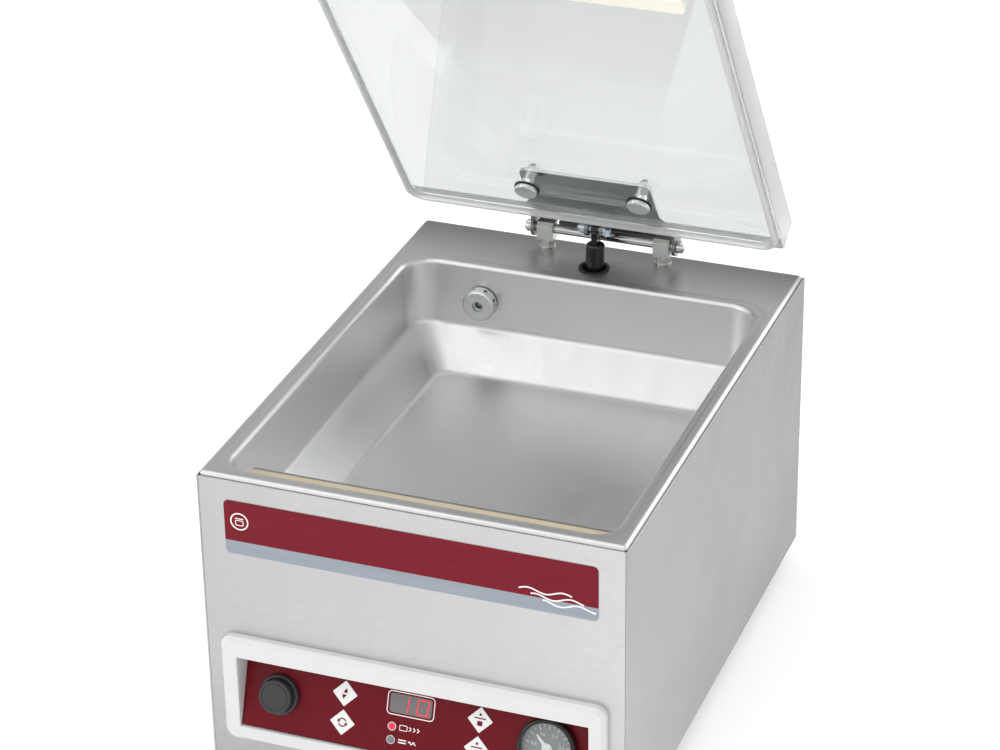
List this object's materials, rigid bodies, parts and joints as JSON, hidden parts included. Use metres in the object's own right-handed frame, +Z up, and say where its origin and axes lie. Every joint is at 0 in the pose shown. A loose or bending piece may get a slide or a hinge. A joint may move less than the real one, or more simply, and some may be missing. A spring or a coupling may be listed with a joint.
{
  "type": "table-top vacuum packing machine",
  "caption": "Table-top chamber vacuum packing machine: steel case, drawn vacuum chamber with seal bar, thick clear lid on a gas-spring hinge, tilted control panel.",
  "frame": {"origin": "bottom centre of the whole machine with its lid open, in the plane that the feet stand on", "axes": "+Z up, front with the control panel towards -Y, +X to the right for a person facing the front"},
  "size_m": [0.33, 0.4632, 0.6435],
  "materials": {
    "steel_case": "satin sheet",
    "steel_tray": "satin deep-drawn sheet",
    "steel_base": "zinc-plated sheet",
    "label_print": "printed film, red over grey",
    "bezel_plastic": "pale moulded, fine texture",
    "fascia_print": "printed film",
    "key_print": "printed film",
    "window_smoke": "smoked window",
    "digit_light": "lit",
    "lamp_red": "lit",
    "lamp_grey": "unlit",
    "switch_black": "fine texture",
    "gauge_black": "gloss",
    "gauge_face": "printed dial",
    "clear_glass": "clear",
    "needle_white": "painted",
    "board_green": "circuit board",
    "transformer_steel": "laminated core",
    "pump_casting": "cast, machined",
    "motor_paint": "painted",
    "rotor_steel": "turned",
    "rubber_black": "moulded",
    "valve_brass": "machined",
    "tube_clear": "hose",
    "bar_aluminium": "extruded",
    "heat_strip": "resistance strip",
    "tape_beige": "glass cloth tape",
    "fitting_steel": "turned satin",
    "lid_clear": "clear cast acrylic, polished edges",
    "gasket_pale": "translucent silicone",
    "holder_white": "extruded",
    "silicone_cream": "silicone",
    "hinge_steel": "satin",
    "bolt_steel": "polished",
    "zinc_bolt": "zinc plated",
    "sleeve_clear": "nylon",
    "strut_black": "gloss black",
    "rod_chrome": "ground"
  },
  "bodies": {
    "case": {"back_panel": "steel_case", "base_plate": "steel_base", "case_screws": "bolt_steel", "chamber_tray": "steel_tray", "control_bezel": "bezel_plastic", "control_board": "board_green", "control_fascia": "fascia_print", "display_digits": "digit_light", "display_window": "window_smoke", "front_label": "label_print", "front_panel": "steel_case", "gas_spring_bracket": "steel_base", "gauge_case": "gauge_black", "gauge_dial": "gauge_face", "gauge_glass": "clear_glass", "gauge_tube": "tube_clear", "hinge_axle": "rod_chrome", "hinge_blocks": "hinge_steel", "hinge_nuts": "bolt_steel", "lamp_seal": "lamp_grey", "lamp_vacuum": "lamp_red", "lift_cylinders": "bar_aluminium", "mains_inlet": "switch_black", "pump_body": "pump_casting", "pump_motor": "motor_paint", "pump_mounts": "rubber_black", "rubber_feet": "rubber_black", "side_panel_left": "steel_case", "side_panel_right": "steel_case", "spring_grommet": "rubber_black", "suction_fitting": "fitting_steel", "switch_collar": "switch_black", "transformer": "transformer_steel", "vacuum_hoses": "rubber_black", "valve_block": "valve_brass"},
    "lid": {"lid_slab": "lid_clear", "lid_gasket": "gasket_pale", "counter_bar_holder": "holder_white", "counter_bar_silicone": "silicone_cream", "hinge_plate": "hinge_steel", "clamp_bolts": "bolt_steel", "clamp_washers": "rubber_black", "clamp_sleeves": "sleeve_clear", "clamp_nuts": "bolt_steel", "clevis_bolt": "zinc_bolt"},
    "seal_lift": {"seal_bar": "bar_aluminium", "heating_strip": "heat_strip", "seal_tape": "tape_beige", "lift_rods": "rod_chrome"},
    "gas_cylinder": {"gas_spring_cylinder": "strut_black"},
    "gas_rod": {"gas_spring_rod": "rod_chrome"},
    "pump_rotor": {"motor_rotor": "rotor_steel"},
    "push_cap": {"switch_cap": "switch_black"},
    "pointer": {"gauge_pointer": "needle_white"},
    "key_program_step": {"key_program_step": "key_print"},
    "key_value_change": {"key_value_change": "key_print"},
    "key_vacuum_stop": {"key_vacuum_stop": "key_print"},
    "key_seal_start": {"key_seal_start": "key_print"}
  },
  "joints": [
    {"name": "lid_hinge", "type": "hinge", "parent": "case", "child": "lid", "pos_m": [0, 0.21206, 0.2835], "axis": [-1, 0, 0], "range_deg": [-55, 0], "stiffness_Nm_per_rad": 3.2, "springref_deg": 160.43},
    {"name": "gas_spring_swing", "type": "hinge", "parent": "lid", "child": "gas_cylinder", "pos_m": [0, 0.19006, 0.3], "axis": [-1, 0, 0], "range_deg": [0, 54.74]},
    {"name": "gas_spring_stroke", "type": "slide", "parent": "gas_cylinder", "child": "gas_rod", "axis": [0, -0.1016, -0.9948], "range_m": [-0.02564, 0]},
    {"name": "seal_bar_lift", "type": "slide", "parent": "case", "child": "seal_lift", "axis": [0, 0, 1], "range_m": [0, 0.0045]},
    {"name": "pump_spin", "type": "hinge", "parent": "case", "child": "pump_rotor", "pos_m": [-0.092, 0.01206, 0.0815], "axis": [0, 1, 0], "continuous": true},
    {"name": "push_switch", "type": "slide", "parent": "case", "child": "push_cap", "axis": [0, 0.9426, -0.3338], "range_m": [0, 0.003], "stiffness_N_per_m": 400},
    {"name": "gauge_needle", "type": "hinge", "parent": "case", "child": "pointer", "pos_m": [0.1035, -0.21939, 0.0849], "axis": [0, -0.9426, 0.3338], "range_deg": [-180, 90], "stiffness_Nm_per_rad": 0.002},
    {"name": "key_program_step_press", "type": "slide", "parent": "case", "child": "key_program_step", "axis": [0, 0.9426, -0.3338], "range_m": [0, 0.0006], "stiffness_N_per_m": 600},
    {"name": "key_value_change_press", "type": "slide", "parent": "case", "child": "key_value_change", "axis": [0, 0.9426, -0.3338], "range_m": [0, 0.0006], "stiffness_N_per_m": 600},
    {"name": "key_vacuum_stop_press", "type": "slide", "parent": "case", "child": "key_vacuum_stop", "axis": [0, 0.9426, -0.3338], "range_m": [0, 0.0006], "stiffness_N_per_m": 600},
    {"name": "key_seal_start_press", "type": "slide", "parent": "case", "child": "key_seal_start", "axis": [0, 0.9426, -0.3338], "range_m": [0, 0.0006], "stiffness_N_per_m": 600}
  ],
  "couplings": [
    {"joint": "gas_spring_swing", "follows": "lid_hinge", "ratio": -0.9899},
    {"joint": "gas_spring_stroke", "follows": "lid_hinge", "m_per_rad": 0.026398}
  ]
}
